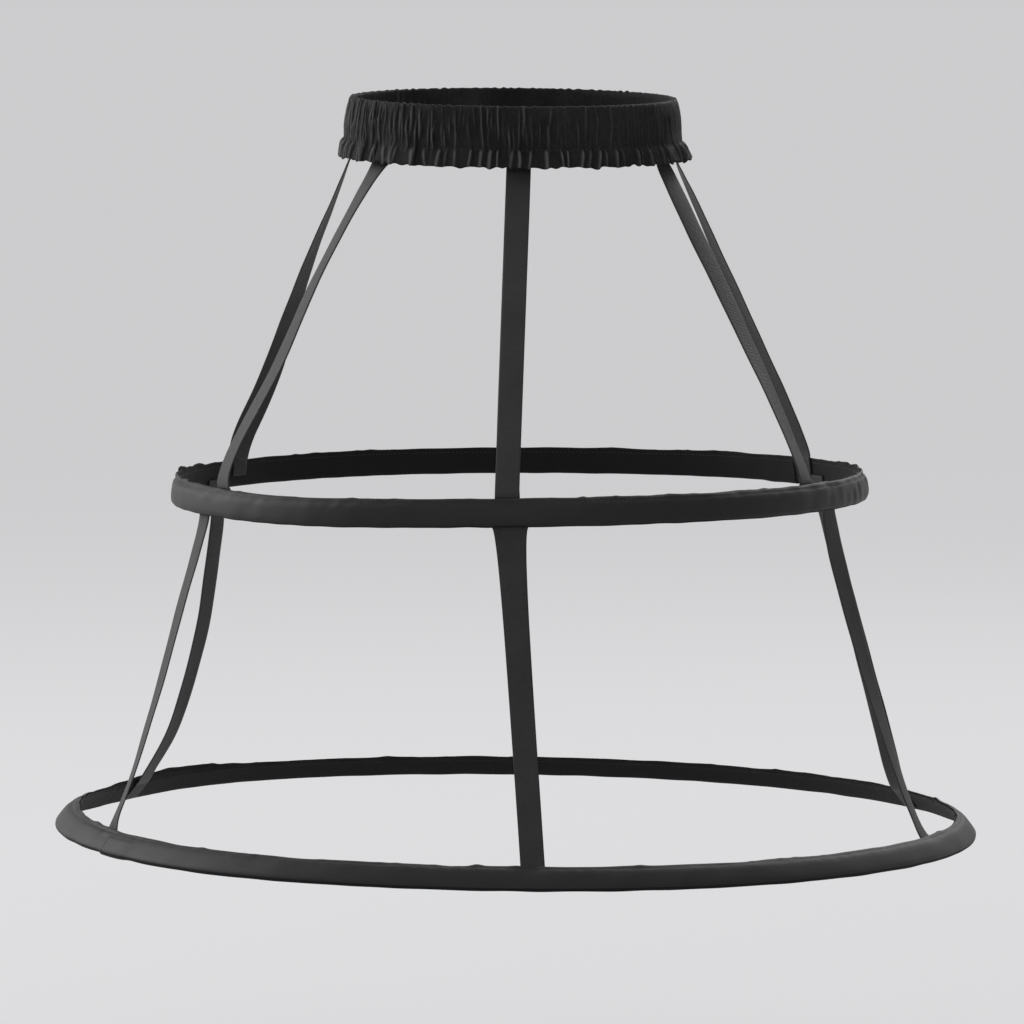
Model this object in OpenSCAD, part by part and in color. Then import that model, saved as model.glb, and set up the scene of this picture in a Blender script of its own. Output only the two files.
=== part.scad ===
// Two-hoop crinoline cage: a shirred waistband, two cased spring hoops and two tiers of six tapes.
// Front is -Y, the viewer's right is +X, up is +Z. The origin is the middle of the waist opening.
// Angles round the cage start at the front and grow towards the viewer's right.

/* [Waistband] */
// Width of the waist along the middle of the elastic
waist_w = 251; // [220:1:300]
// Depth of the waist along the middle of the elastic
waist_d = 194; // [170:1:240]
// Height of the elastic inside the channel
elastic_h = 28; // [20:1:40]
// Thickness of the elastic
elastic_t = 1.6; // [1:0.1:3]
// Height of the folded cloth above the elastic
fold_h = 4.4; // [2:0.2:8]
// Drop of the frill below the channel
frill_h = 13.5; // [6:0.5:20]
// Outward flare of the frill at its hem
frill_flare = 8; // [1:0.5:11]
// Depth of the frill's waves
frill_wave = 2.2; // [0:0.1:4]
// Thickness of the waistband's cloth
waist_cloth = 0.9; // [0.6:0.1:1.6]
// Number of gathers round the waistband
gathers = 132; // [96:4:160]
// Height of the gather ridges
gather_depth = 2.4; // [0.4:0.1:4]
// Forward tilt of the waistband in degrees
waist_dip = 3.5; // [0:0.5:8]
// Sideways slope of the waistband in degrees
waist_slope = 0.5; // [-2:0.1:2]

/* [Hoops] */
// Radius of the upper hoop at its bone
upper_radius = 265; // [230:1:300]
// Radius of the lower hoop at its bone
lower_radius = 349; // [310:1:400]
// Drop from the waist to the upper hoop
upper_drop = 278; // [220:0.5:330]
// Drop from the upper hoop to the lower hoop
lower_drop = 257; // [200:0.5:320]
// Outward lean of the upper casing in degrees
upper_lean = 7; // [0:1:20]
// Outward lean of the lower casing in degrees
lower_lean = 40; // [20:1:60]
// Sideways slope of the upper hoop in degrees
upper_slope = -0.35; // [-2:0.05:2]
// Sideways slope of the lower hoop in degrees
lower_slope = 0.75; // [-2:0.05:2]
// Sideways offset of the upper hoop from the waist
upper_shift = 4.5; // [-10:0.5:10]
// Sideways offset of the lower hoop from the waist
lower_shift = 2; // [-10:0.5:10]

/* [Bones and casings] */
// Width of the spring bone
bone_w = 10; // [6:0.5:14]
// Thickness of the spring bone
bone_t = 1.2; // [0.8:0.1:2]
// Gap between the ends of a bone, inside its joiner
bone_gap = 1; // [0.5:0.5:4]
// Length of the sleeve that joins the ends of a bone
joiner_len = 44; // [30:1:70]
// Wall of the joiner sleeve
joiner_wall = 0.5; // [0.3:0.1:1]
// Room in the casing above and below the joiner
casing_room = 2.2; // [0.5:0.1:4]
// Thickness of the casing's cloth
casing_cloth = 0.7; // [0.5:0.1:1.2]
// Height of the seam allowance that stands on the casing's inner top edge
seam_h = 4.2; // [2:0.2:7]
// Length of the lap where the ends of a casing are joined
lap_len = 30; // [15:1:45]
// Distance from the lap's edge to the tape beside it
lap_clear = 6; // [3:0.5:20]
// Gap between the ends of a casing's tube, under its lap
lap_gap = 2; // [1:0.5:4]
// Length of the lap that is joined to its own tube
lap_collar = 4; // [2:0.5:8]
// Angle of the joiners
joiner_at = -150; // [-175:1:175]

/* [Tapes] */
// Width of the tapes
tape_w = 18.5; // [12:0.5:20]
// Thickness of the tapes
tape_t = 1; // [0.6:0.1:1.4]
// Width of the lower front tape where it is sewn to the upper hoop
front_flare_w = 27; // [20:0.5:34]
// Length over which a tape turns from its sewn end into its run
turn_len = 10; // [6:1:40]
// Front tape's angles at the waist, above the upper hoop, below it and at the lower hoop
front_at = [2, -2, -1.5, 2]; // [-180:0.5:180]
// Front left tape's angles
front_left_at = [-53.5, -56.5, -64.5, -63.5]; // [-180:0.5:180]
// Back left tape's angles
back_left_at = [-88, -124, -113.5, -118]; // [-180:0.5:180]
// Back tape's angles
back_at = [178, -178, -178, 178.5]; // [-180:0.5:180]
// Back right tape's angles
back_right_at = [89.5, 120, 116, 115.5]; // [-180:0.5:180]
// Front right tape's angles
front_right_at = [66, 55.5, 62.5, 65.5]; // [-180:0.5:180]
// Inward sag of the upper and lower front tapes
front_sag = [-2, 5]; // [-20:0.5:20]
// Inward sag of the front left tapes
front_left_sag = [-9.5, 1.5]; // [-20:0.5:20]
// Inward sag of the back left tapes
back_left_sag = [-7, 18.5]; // [-20:0.5:20]
// Inward sag of the back tapes
back_sag = [-2, 5]; // [-20:0.5:20]
// Inward sag of the back right tapes
back_right_sag = [-3.5, -2]; // [-20:0.5:20]
// Inward sag of the front right tapes
front_right_sag = [-4, 6]; // [-20:0.5:20]
// Turn of the front tapes in degrees: high and low on the upper one, then on the lower one
front_turn = [0, -2, -5, -5]; // [-40:1:40]
// Turn of the front left tapes
front_left_turn = [20, -25, 5, 30]; // [-40:1:40]
// Turn of the back left tapes
back_left_turn = [10, 35, 4, -7]; // [-40:1:40]
// Turn of the back tapes
back_turn = [0, 0, 0, 0]; // [-40:1:40]
// Turn of the back right tapes
back_right_turn = [-13, -6, -6, -19]; // [-40:1:40]
// Turn of the front right tapes
front_right_turn = [10, -12, 14, -10]; // [-40:1:40]

/* [Fits] */
// Clearance between pieces that lie against each other
fit = 0.3; // [0.2:0.05:0.4]

/* [Hidden] */
$fn = 96;

cloth_black = "#232325";
tape_black = "#2b2b2d";
elastic_grey = "#3a3a3c";
bone_white = "#d9d8d2";
joiner_steel = "#a9abad";

// Heights in the waistband's own frame, whose middle is the waist
channel_h = elastic_h + 2*fit + fold_h;
band_top = (channel_h + frill_h)/2;
stitch_z = band_top - channel_h;
slot_top = band_top - fold_h;
slot_half = elastic_t/2 + fit;
band_wall = slot_half + waist_cloth;
hem_z = stitch_z - frill_h;
hem_lift = 0.3*frill_wave;
stations = 2*gathers;

// Section of a casing, across the band and along it
joiner_t = bone_t + 2*fit + 2*joiner_wall;
joiner_w = bone_w + 2*fit + 2*joiner_wall;
pocket_t = joiner_t + 2*fit;
pocket_w = joiner_w + 2*casing_room;
casing_t = pocket_t + 2*casing_cloth;
casing_w = pocket_w + 2*casing_cloth;
seam_t = 2*casing_cloth;
seam_tip = casing_w/2 + seam_h;
upper_lap_at = max(back_right_at[1], back_right_at[2]) + arc_deg(tape_w/2 + lap_clear, upper_radius);
lower_lap_at = front_left_at[3] + arc_deg(tape_w/2 + lap_clear, lower_radius);
cut_over = 1;
edge_facets = 5;

// A tape's sewn end lies against the inner face of its casing
tape_seat = -(casing_t/2 + fit + tape_t/2);
tape_slot_seat = -slot_half + fit + tape_t/2;
tape_steps = 10;

// Each hoop is its radius, lean, slope, sideways offset and height
upper_hoop = [upper_radius, upper_lean, upper_slope, upper_shift, -upper_drop];
lower_hoop = [lower_radius, lower_lean, lower_slope, lower_shift, -upper_drop - lower_drop];

function arc_deg(len, r) = len/r*180/PI;
function unit(v) = v/norm(v);
function tip_forward(p, a) = [p.x, p.y*cos(a) - p.z*sin(a), p.y*sin(a) + p.z*cos(a)];
function tip_sideways(p, a) = [p.x*cos(a) + p.z*sin(a), p.y, p.z*cos(a) - p.x*sin(a)];

// Point of the waistband at an angle: n out from the elastic's middle, z up
function waist_local(at, n, z) =
    let (side = [waist_d*sin(at), -waist_w*cos(at)])
    let (out = n*side/norm(side))
    [waist_w/2*sin(at) + out.x, -waist_d/2*cos(at) + out.y, z];
function waist_point(at, n, z) =
    tip_sideways(tip_forward(waist_local(at, n, z), waist_dip), waist_slope);
function waist_radius(at) = norm([waist_w/2*cos(at), waist_d/2*sin(at)]);

// Point of a hoop's casing at an angle: n out across the band, y up along it
function hoop_point(hoop, at, n, y) =
    let (r = hoop[0] + n*cos(hoop[1]) - y*sin(hoop[1]))
    let (z = n*sin(hoop[1]) + y*cos(hoop[1]))
    tip_sideways([r*sin(at), -r*cos(at), z], hoop[2]) + [hoop[3], 0, hoop[4]];

// Gathers: a ridge at every second station, uneven as drawn-up cloth is
function ridge(i) = i % 2 == 0 ? 0.7 + 0.3*sin(i*71) : 0.12 + 0.12*sin(i*43);
function wave(i) = sin(i*90 + 35*sin(i*13));

// Closed section of the waistband at a station: up the outside, over the fold, down and round the slot
function band_section(i) =
    let (g = gather_depth*ridge(i))
    let (w = frill_wave*wave(i))
    let (hem = hem_z + hem_lift*wave(i))
    let (mid_frill = (stitch_z + hem)/2)
    [
        [band_wall + frill_flare + w + 0.3*g, hem],
        [band_wall + 0.45*frill_flare + 0.6*w + 0.4*g, mid_frill],
        [band_wall + 0.15*frill_flare + 0.3*g, stitch_z],
        [band_wall + 0.1*frill_flare + 0.9*g, stitch_z + 0.2*channel_h],
        [band_wall + g, band_top - 0.4*channel_h],
        [band_wall - 0.4*waist_cloth + 0.6*g, band_top - 0.45*fold_h],
        [0, band_top + 0.3*g],
        [-band_wall + 0.4*waist_cloth - 0.2*g, band_top - 0.45*fold_h],
        [-band_wall - 0.3*g, stitch_z],
        [-band_wall - 0.3*g, hem],
        [-slot_half, hem],
        [-slot_half, slot_top],
        [slot_half, slot_top],
        [slot_half, stitch_z],
        [slot_half + frill_flare + w, hem]
    ];

// Closed ring of sections, as points and triangles
function ring_faces(rows, cols) = [
    for (i = [0:rows - 1], j = [0:cols - 1])
        let (a = i*cols + j, b = i*cols + (j + 1) % cols)
        let (c = ((i + 1) % rows)*cols + (j + 1) % cols, d = ((i + 1) % rows)*cols + j)
        each [[a, b, c], [a, c, d]]
];

// Three columns across a tape's width, on the waist slot or on a casing
function waist_columns(at, z, w) = [
    for (u = [-1:1]) waist_point(at + arc_deg(u*w/2, waist_radius(at)), tape_slot_seat, z)
];
function hoop_columns(hoop, at, y, w) = [
    for (u = [-1:1]) hoop_point(hoop, at + arc_deg(u*w/2, hoop[0]), tape_seat, y)
];
function waist_down() = waist_point(0, 0, -1) - waist_point(0, 0, 0);
function hoop_down(hoop, at) = hoop_point(hoop, at, 0, -1) - hoop_point(hoop, at, 0, 0);

// Smooth run of one column from a sewn end to the next
function bezier(a, b, c, d, t) =
    pow(1 - t, 3)*a + 3*t*pow(1 - t, 2)*b + 3*t*t*(1 - t)*c + t*t*t*d;
function turned(v, axis, a) = v*cos(a) + cross(axis, v)*sin(a) + axis*(axis*v)*(1 - cos(a));
function run_row(head, head_dir, tail, tail_dir, sag, turn, t) =
    let (raw = [for (k = [0:2])
        bezier(head[k], head[k] + turn_len*head_dir, tail[k] - turn_len*tail_dir, tail[k], t)])
    let (middle = (head[1] + tail[1])/2)
    let (inward = -unit([middle.x, middle.y, 0]))
    let (axis = unit(tail[1] - head[1]))
    [for (p = raw) raw[1] + turned(p - raw[1], axis, turn) + sag*sin(180*t)*inward];
function spread(row, scale) = [for (p = row) row[1] + scale*(p - row[1])];
function tape_rows(first, head, head_dir, tail, tail_dir, last, sag, turns, flare = 1) = concat(
    [spread(first, flare)],
    [for (i = [0:tape_steps])
        let (t = i/tape_steps)
        spread(run_row(head, head_dir, tail, tail_dir, sag, turns[i], t), 1 + (flare - 1)*pow(1 - t, 5))],
    [last]
);

// A tape's turn along its run: one part is strongest near its head, the other near its tail
function run_turns(high, low) = [
    for (i = [0:tape_steps])
        let (t = i/tape_steps)
        high*sin(180*(1 - pow(1 - t, 2))) + low*sin(180*pow(t, 3))
];

// A flat tape through rows of three columns, half its thickness to each side
module tape(rows) {
    n = len(rows);
    points = [
        for (i = [0:n - 1])
            let (along = rows[min(i + 1, n - 1)][1] - rows[max(i - 1, 0)][1])
            let (face = tape_t/2*unit(cross(rows[i][2] - rows[i][0], along)))
            each concat([for (k = [0:2]) rows[i][k] + face], [for (k = [2:-1:0]) rows[i][k] - face])
    ];
    sides = [
        for (i = [0:n - 2], j = [0:5])
            let (a = i*6 + j, b = i*6 + (j + 1) % 6)
            each [[a, b + 6, b], [a, a + 6, b + 6]]
    ];
    end = (n - 1)*6;
    caps = [
        [0, 1, 4, 5], [1, 2, 3, 4],
        [end, end + 5, end + 4, end + 1], [end + 1, end + 4, end + 3, end + 2]
    ];
    color(tape_black) polyhedron(points, concat(sides, caps));
}

// Tape from the waistband's slot to the upper half of the upper casing's inner face
module upper_tape(at, sag, turn) {
    exit_z = hem_z - hem_lift - fit;
    tape(tape_rows(
        waist_columns(at[0], stitch_z - fit, tape_w),
        waist_columns(at[0], exit_z, tape_w), waist_down(),
        hoop_columns(upper_hoop, at[1], seam_tip, tape_w), hoop_down(upper_hoop, at[1]),
        hoop_columns(upper_hoop, at[1], fit/2, tape_w),
        sag[0], run_turns(turn[0], turn[1])
    ));
}

// Tape from the lower half of the upper casing's inner face to the lower casing
module lower_tape(at, sag, turn, head_w = tape_w) {
    tape(tape_rows(
        hoop_columns(upper_hoop, at[2], -fit/2, tape_w),
        hoop_columns(upper_hoop, at[2], -casing_w/2, tape_w), hoop_down(upper_hoop, at[2]),
        hoop_columns(lower_hoop, at[3], seam_tip, tape_w), hoop_down(lower_hoop, at[3]),
        hoop_columns(lower_hoop, at[3], -casing_w/4, tape_w),
        sag[1], run_turns(turn[2], turn[3]), head_w/tape_w
    ));
}

module in_hoop(hoop) {
    translate([hoop[3], 0, hoop[4]]) rotate([0, hoop[2], 0]) children();
}

// Revolves a section from one angle to another round a hoop
module sweep(hoop, from, to) {
    rotate_extrude(angle = to - from, start = from - 90)
        translate([hoop[0], 0]) rotate(hoop[1]) children();
}

// Band section with softly rounded ends, t thick and w along
function band_outline(t, w) = [
    for (side = [1, -1], k = [0:edge_facets])
        let (a = 180*k/edge_facets)
        side*[t/2*cos(a), (w - t)/2 + t/2*sin(a)/cos(90/edge_facets)]
];
module band_shape(t, w) {
    polygon(band_outline(t, w));
}

// Outline of a casing with its seam allowance, grown by g on every side
module casing_shape(g) {
    band_shape(casing_t + 2*g, casing_w + 2*g);
    translate([-casing_t/2 - g, 0]) square([seam_t + 2*g, seam_tip + g]);
}

// Cloth casing: one tube round the hoop, whose widened end laps over its start
module casing(hoop, lap_at) {
    lap_outer = fit + casing_cloth;
    tube_from = lap_at + arc_deg(lap_len, hoop[0]);
    tube_to = tube_from + 360 - arc_deg(lap_collar + lap_gap, hoop[0]);
    collar_half = arc_deg(lap_collar, hoop[0]);
    over = arc_deg(cut_over, hoop[0]);
    color(cloth_black) in_hoop(hoop) {
        sweep(hoop, tube_from, tube_to) difference() {
            casing_shape(0);
            band_shape(pocket_t, pocket_w);
        }
        difference() {
            sweep(hoop, lap_at, tube_from + collar_half) casing_shape(lap_outer);
            sweep(hoop, lap_at - over, tube_from - collar_half) casing_shape(fit);
            sweep(hoop, tube_from - collar_half - over, tube_from + collar_half + over)
                band_shape(pocket_t + casing_cloth/2, pocket_w + casing_cloth/2);
        }
    }
}

// Flat spring strip, open at the joiner
module bone(hoop, joint_at) {
    half_gap = arc_deg(bone_gap/2, hoop[0]);
    color(bone_white) in_hoop(hoop)
        sweep(hoop, joint_at + half_gap, joint_at + 360 - half_gap) square([bone_t, bone_w], center = true);
}

// Flat sleeve over both ends of a bone
module joiner(hoop, joint_at) {
    half = arc_deg(joiner_len/2, hoop[0]);
    color(joiner_steel) in_hoop(hoop)
        sweep(hoop, joint_at - half, joint_at + half) difference() {
            square([joiner_t, joiner_w], center = true);
            square([bone_t + 2*fit, bone_w + 2*fit], center = true);
        }
}

module waistband_casing() {
    cols = len(band_section(0));
    points = [
        for (i = [0:stations - 1], p = band_section(i)) waist_point(360*i/stations, p.x, p.y)
    ];
    color(cloth_black) polyhedron(points, ring_faces(stations, cols));
}

module waist_elastic() {
    low = stitch_z + fit;
    half = elastic_t/2;
    corners = [[-half, low], [half, low], [half, low + elastic_h], [-half, low + elastic_h]];
    points = [
        for (i = [0:gathers - 1], p = corners) waist_point(360*i/gathers, p.x, p.y)
    ];
    color(elastic_grey) polyhedron(points, ring_faces(gathers, len(corners)));
}

module upper_hoop_casing() casing(upper_hoop, upper_lap_at);
module upper_hoop_bone() bone(upper_hoop, joiner_at);
module upper_hoop_joiner() joiner(upper_hoop, joiner_at);
module lower_hoop_casing() casing(lower_hoop, lower_lap_at);
module lower_hoop_bone() bone(lower_hoop, joiner_at);
module lower_hoop_joiner() joiner(lower_hoop, joiner_at);
module upper_tape_front() upper_tape(front_at, front_sag, front_turn);
module upper_tape_front_left() upper_tape(front_left_at, front_left_sag, front_left_turn);
module upper_tape_back_left() upper_tape(back_left_at, back_left_sag, back_left_turn);
module upper_tape_back() upper_tape(back_at, back_sag, back_turn);
module upper_tape_back_right() upper_tape(back_right_at, back_right_sag, back_right_turn);
module upper_tape_front_right() upper_tape(front_right_at, front_right_sag, front_right_turn);
module lower_tape_front() lower_tape(front_at, front_sag, front_turn, front_flare_w);
module lower_tape_front_left() lower_tape(front_left_at, front_left_sag, front_left_turn);
module lower_tape_back_left() lower_tape(back_left_at, back_left_sag, back_left_turn);
module lower_tape_back() lower_tape(back_at, back_sag, back_turn);
module lower_tape_back_right() lower_tape(back_right_at, back_right_sag, back_right_turn);
module lower_tape_front_right() lower_tape(front_right_at, front_right_sag, front_right_turn);

waistband_casing();
waist_elastic();
upper_hoop_casing();
upper_hoop_bone();
upper_hoop_joiner();
lower_hoop_casing();
lower_hoop_bone();
lower_hoop_joiner();
upper_tape_front();
upper_tape_front_left();
upper_tape_back_left();
upper_tape_back();
upper_tape_back_right();
upper_tape_front_right();
lower_tape_front();
lower_tape_front_left();
lower_tape_back_left();
lower_tape_back();
lower_tape_back_right();
lower_tape_front_right();
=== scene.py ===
import math

import bpy
import numpy as np
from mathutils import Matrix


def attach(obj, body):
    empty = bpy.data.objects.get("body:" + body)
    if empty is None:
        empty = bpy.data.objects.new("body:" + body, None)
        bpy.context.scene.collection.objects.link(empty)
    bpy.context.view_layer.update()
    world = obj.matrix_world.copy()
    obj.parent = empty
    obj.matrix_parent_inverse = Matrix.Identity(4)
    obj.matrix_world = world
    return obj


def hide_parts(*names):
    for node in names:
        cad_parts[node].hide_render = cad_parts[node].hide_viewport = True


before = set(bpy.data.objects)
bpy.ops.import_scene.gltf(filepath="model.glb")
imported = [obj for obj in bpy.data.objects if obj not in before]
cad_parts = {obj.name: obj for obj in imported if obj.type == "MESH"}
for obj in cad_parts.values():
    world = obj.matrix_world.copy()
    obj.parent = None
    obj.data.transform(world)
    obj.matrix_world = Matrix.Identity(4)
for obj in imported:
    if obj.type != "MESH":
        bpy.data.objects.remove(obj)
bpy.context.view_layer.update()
bpy.ops.object.select_all(action="DESELECT")
scene = bpy.context.scene
scene.view_settings.view_transform = "Standard"
mm = 0.001
print("frame loaded:", len(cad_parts), "nodes")

# camera at the photograph's viewing angle, for a square picture
cameraSet = {"place": (-0.0010, -4.8522, 0.09155), "pitchDown": 4.578,
             "focalPixels": 6311.8, "pixels": 1024, "sensor": 36.0, "reach": 4000}
bpy.ops.object.camera_add(location=cameraSet["place"],
                          rotation=(math.radians(90 - cameraSet["pitchDown"]), 0, 0))
camera = bpy.context.object
camera.name = "camera"
camera.data.sensor_width = cameraSet["sensor"]
camera.data.lens = cameraSet["sensor"]*cameraSet["focalPixels"]/cameraSet["pixels"]
camera.data.clip_end = cameraSet["reach"]
scene.camera = camera
print("camera set")


# shader maths: a wrapped socket, so that sums are written as plain expressions
class Wire:
    def __init__(self, tree, socket=None):
        self.tree, self.socket = tree, socket

    def node(self, kind, settings=None, values=None, out=0):
        made = self.tree.nodes.new(kind)
        for name, value in (settings or {}).items():
            setattr(made, name, value)
        for key, value in (values or {}).items():
            if isinstance(value, Wire):
                self.tree.links.new(value.socket, made.inputs[key])
            else:
                made.inputs[key].default_value = value
        return Wire(self.tree, made.outputs[out])

    def sum(self, how, other):
        return self.node("ShaderNodeMath", {"operation": how}, {0: self, 1: other})

    def reversed(self, how, other):
        return self.node("ShaderNodeMath", {"operation": how}, {0: other, 1: self})

    def __add__(self, other): return self.sum("ADD", other)
    def __radd__(self, other): return self.sum("ADD", other)
    def __sub__(self, other): return self.sum("SUBTRACT", other)
    def __rsub__(self, other): return self.reversed("SUBTRACT", other)
    def __mul__(self, other): return self.sum("MULTIPLY", other)
    def __rmul__(self, other): return self.sum("MULTIPLY", other)
    def __truediv__(self, other): return self.sum("DIVIDE", other)
    def __pow__(self, other): return self.sum("POWER", other)
    def __abs__(self): return self.sum("ABSOLUTE", 0)


def sine(wire): return wire.sum("SINE", 0)
def whole(wire): return wire.sum("FLOOR", 0)
def larger(a, b): return a.sum("MAXIMUM", b)
def limited(wire): return wire.sum("MAXIMUM", 0).sum("MINIMUM", 1)


def newMaterial(name, constants):
    made = bpy.data.materials.new(name)
    made.use_nodes = True
    tree = made.node_tree
    shader = tree.nodes["Principled BSDF"]
    for key, value in constants.items():
        shader.inputs[key].default_value = value
    return made, Wire(tree), shader


def plug(wire, shader, key):
    wire.tree.links.new(wire.socket, shader.inputs[key])


def mixColour(start, factor, dark, light):
    return start.node("ShaderNodeMix", {"data_type": "RGBA"},
                      {0: factor, 6: dark if isinstance(dark, Wire) else (*dark, 1), 7: (*light, 1)}, out=2)


def strandNoise(start, place, scale, detail, rough):
    return start.node("ShaderNodeTexNoise", {"noise_dimensions": "3D"},
                      {"Vector": place, "Scale": scale, "Detail": detail, "Roughness": rough})


# woven cloth: yarns over and under in the piece's own map, which is in metres,
# paler at random and where the piece's mark paints light or wear, darker where it paints shade; a noise is its
# scale, detail and roughness
weaveSet = {"cloud": (30, 4.0, 0.6), "slub": (420, 2.0, 0.6), "fold": (520, 2.0, 0.55),
            "foldStretch": (1, 0.07, 1), "fleck": (1500, 1.0, 0.5), "fleckFrom": 0.77, "fleckSharp": 14,
            "fleckShare": 0.5, "sheenRough": 0.4, "bumpDistance": 0.0004}


def wovenCloth(name, dark, light, lint, yarn, rough, bump, sheen, gloss, weave, crinkle, paleFrom=0.26):
    made, start, shader = newMaterial(name, {
        "Sheen Weight": sheen, "Sheen Roughness": weaveSet["sheenRough"], "Specular IOR Level": gloss})
    place = start.node("ShaderNodeUVMap", {"uv_map": "UVMap"})
    along = start.node("ShaderNodeSeparateXYZ", None, {0: place})
    across = Wire(start.tree, along.socket.node.outputs[1])
    solid = start.node("ShaderNodeTexCoord", out=3)
    ridge = start.node("ShaderNodeAttribute", {"attribute_name": "ridge"}, out=2)
    a, b = along/yarn, across/yarn
    if weave == "plain":
        warp = abs(sine(b*math.pi))*(0.5 + 0.5*sine(a*math.pi + whole(b)*math.pi))
        weft = abs(sine(a*math.pi))*(0.5 - 0.5*sine(b*math.pi + whole(a)*math.pi))
        height = larger(warp, weft)
    elif weave == "rib":
        cords = abs(sine(a*math.pi))**0.7
        height = cords*(0.75 + 0.25*abs(sine(b*math.pi*1.7 + whole(a)*1.57)))
    else:
        height = abs(sine(b*math.pi))**0.6*(0.7 + 0.3*abs(sine(a*math.pi*0.8)))
    cloud = strandNoise(start, solid, *weaveSet["cloud"])
    slub = strandNoise(start, solid, *weaveSet["slub"])
    stretched = start.node("ShaderNodeMapping", None, {"Vector": place, "Scale": weaveSet["foldStretch"]})
    fold = strandNoise(start, stretched, *weaveSet["fold"])
    specks = strandNoise(start, solid, *weaveSet["fleck"]) - weaveSet["fleckFrom"]
    fleck = limited(specks*weaveSet["fleckSharp"])*weaveSet["fleckShare"]
    # paleness mixes random tone from weave and noise with the piece's mark: painted highlight on ridges,
    # painted shade on seams, grooves and tucked ends, wear on tape edges
    paleness = limited(0.22*height + 0.4*cloud + 0.2*slub + 1.1*ridge - paleFrom)
    plug(mixColour(start, fleck, mixColour(start, paleness, dark, light), lint), shader, "Base Color")
    matt = limited(0.6*cloud + 0.5*height - 0.5*ridge)
    plug(rough[0] + (rough[1] - rough[0])*matt, shader, "Roughness")
    relief = height + 0.4*slub + 1.4*cloud + crinkle*fold
    plug(start.node("ShaderNodeBump", None, {"Strength": bump, "Distance": weaveSet["bumpDistance"],
                                             "Height": relief}), shader, "Normal")
    return made


# the light end of each cloth is reached where its mark is high; on the waistband it is mostly the painted
# highlight on its ridges
clothSet = {
    "waistband": {"name": "shirredBlackCotton", "dark": (0.0024, 0.0024, 0.0027),
                  "light": (0.085, 0.085, 0.088), "lint": (0.06, 0.06, 0.062), "yarn": 0.00036,
                  "rough": (0.4, 0.6), "bump": 0.4, "sheen": 0.01, "gloss": 0.12, "weave": "plain",
                  "crinkle": 2.0, "paleFrom": 0.35},
    "casing": {"name": "satinBlackCasing", "dark": (0.0055, 0.0055, 0.006), "light": (0.019, 0.019, 0.0208),
               "lint": (0.055, 0.055, 0.057), "yarn": 0.00042, "rough": (0.4, 0.56), "bump": 0.22,
               "sheen": 0.04, "gloss": 0.24, "weave": "plain", "crinkle": 0.4},
    "lining": {"name": "dullBlackLining", "dark": (0.0055, 0.0055, 0.006), "light": (0.02, 0.02, 0.0215),
               "lint": (0.05, 0.05, 0.052), "yarn": 0.00042, "rough": (0.6, 0.8), "bump": 0.25,
               "sheen": 0.03, "gloss": 0.1, "weave": "plain", "crinkle": 0.4},
    "tape": {"name": "ribbedBlackTape", "dark": (0.0085, 0.0085, 0.0092), "light": (0.064, 0.064, 0.068),
             "lint": (0.075, 0.075, 0.078), "yarn": 0.00085, "rough": (0.42, 0.62), "bump": 0.35,
             "sheen": 0.05, "gloss": 0.26, "weave": "rib", "crinkle": 0.2},
    "elastic": {"name": "knittedElastic", "dark": (0.012, 0.012, 0.0125), "light": (0.04, 0.04, 0.042),
                "lint": (0.06, 0.06, 0.062), "yarn": 0.0012, "rough": (0.55, 0.8), "bump": 0.5,
                "sheen": 0.03, "gloss": 0.25, "weave": "knit", "crinkle": 0.3},
}


# finishes with one grain all over: thread, coated strip and steel;
# rough is the least roughness and how much the grain adds to it
def grainFinish(name, constants, noise, dark, light, rough, bump):
    made, start, shader = newMaterial(name, constants)
    grain = strandNoise(start, start.node("ShaderNodeTexCoord", out=3), *noise)
    plug(mixColour(start, grain, dark, light), shader, "Base Color")
    plug(rough[0] + rough[1]*grain, shader, "Roughness")
    if bump:
        plug(start.node("ShaderNodeBump", None, {"Strength": bump, "Distance": 0.0001, "Height": grain}),
             shader, "Normal")
    return made


grainSet = {
    "thread": {"name": "blackThread", "constants": {"Sheen Weight": 0.06, "Specular IOR Level": 0.35},
               "noise": (2600, 1.0, 0.5), "dark": (0.012, 0.012, 0.013), "light": (0.042, 0.042, 0.045),
               "rough": (0.42, 0.25), "bump": 0.3},
    "bone": {"name": "coatedBone", "constants": {"Specular IOR Level": 0.4}, "noise": (160, 4.0, 0.65),
             "dark": (0.58, 0.57, 0.53), "light": (0.74, 0.73, 0.69), "rough": (0.35, 0.25), "bump": None},
    "joiner": {"name": "crimpedSteel", "constants": {"Metallic": 1.0}, "noise": (700, 3.0, 0.6),
               "dark": (0.42, 0.43, 0.44), "light": (0.6, 0.61, 0.62), "rough": (0.25, 0.25), "bump": 0.1},
}
finishes = {key: wovenCloth(**cloth) for key, cloth in clothSet.items()}
finishes.update({key: grainFinish(**grain) for key, grain in grainSet.items()})
print("finishes made:", len(finishes))


# the cage's own frame: angles start at the front and grow towards the viewer's right, lengths are in mm;
# a hoop's dips are the places where it hangs lower: angle, reach and depth
waist = {"width": 251.0, "depth": 194.0, "dip": math.radians(3.5), "slope": math.radians(0.5),
         "elasticLow": -9.45, "elasticHigh": 18.55}
upperHoop = {"radius": 265.0, "lean": math.radians(7), "slope": math.radians(-0.35), "shift": 4.5,
             "height": -278.0, "dips": [(-40, 26, 2.6), (-150, 30, -0.8)]}
lowerHoop = {"radius": 349.0, "lean": math.radians(40), "slope": math.radians(0.75), "shift": 2.0,
             "height": -535.0, "dips": [(-44, 22, 1.8), (180, 48, 1.6), (-112, 16, 3.4)]}


def tipForward(p, a):
    x, y, z = p[..., 0], p[..., 1], p[..., 2]
    return np.stack([x, y*np.cos(a) - z*np.sin(a), y*np.sin(a) + z*np.cos(a)], -1)


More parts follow.
